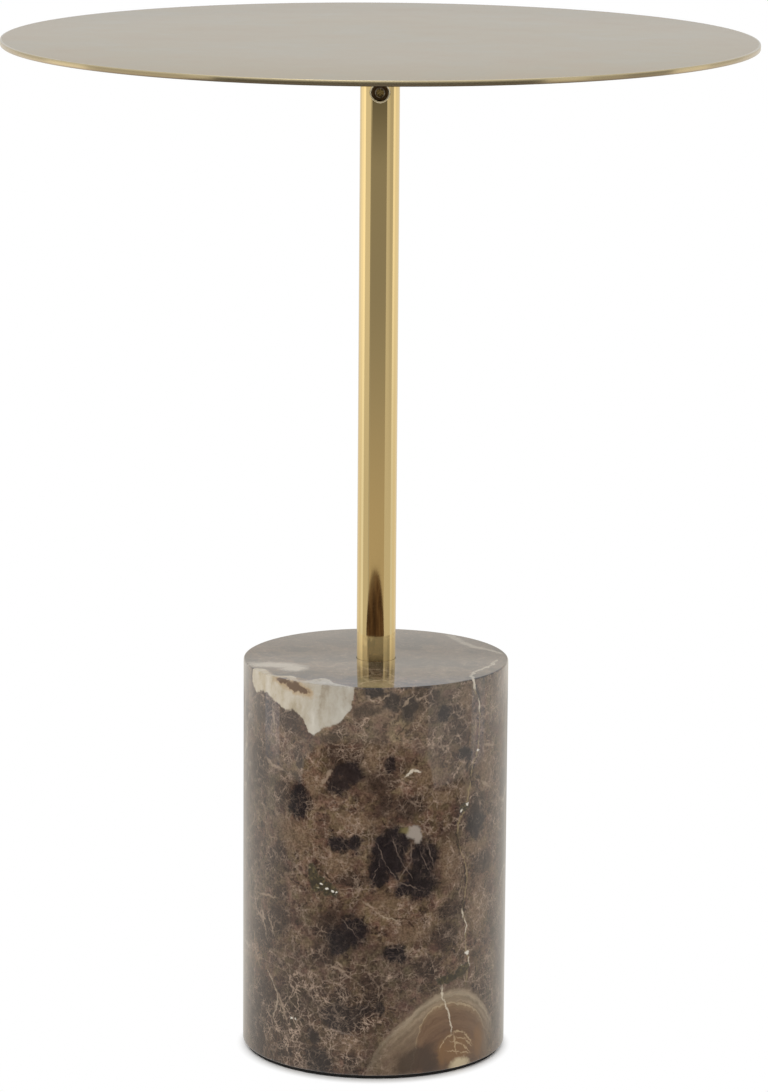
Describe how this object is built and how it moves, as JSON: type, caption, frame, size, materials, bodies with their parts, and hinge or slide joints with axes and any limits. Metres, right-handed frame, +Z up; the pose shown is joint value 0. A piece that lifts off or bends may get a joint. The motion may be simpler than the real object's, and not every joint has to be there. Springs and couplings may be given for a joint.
{
  "type": "side table",
  "caption": "Round side table: a thin brass disc top on a slim polished brass tube that stands in a heavy polished marble cylinder.",
  "frame": {"origin": "centre of the pad's underside, where the table meets the floor", "axes": "+Z up the tube to the top, -Y towards the side that the lock screw faces"},
  "size_m": [0.3999, 0.4, 0.55],
  "materials": {
    "satin_brass": "brushed, satin, lightly aged",
    "polished_brass": "polished",
    "marble": "polished, dark brown with pale veins",
    "turned_steel": "turned",
    "zinc_plated_steel": "bright zinc plated",
    "blackened_steel": "black oxide",
    "fibre": "vulcanised fibre, matt",
    "pad_rubber": "matt black"
  },
  "bodies": {
    "root": {"table_top": "satin_brass", "mount_disc": "satin_brass", "top_spigot": "turned_steel", "lock_screw": "blackened_steel", "stem_tube": "polished_brass", "foot_plug": "turned_steel", "tie_rod": "zinc_plated_steel", "marble_base": "marble", "seat_gasket": "fibre", "plate_washer": "zinc_plated_steel", "spring_washer": "zinc_plated_steel", "clamp_nut": "zinc_plated_steel", "base_pad": "pad_rubber"}
  },
  "joints": []
}
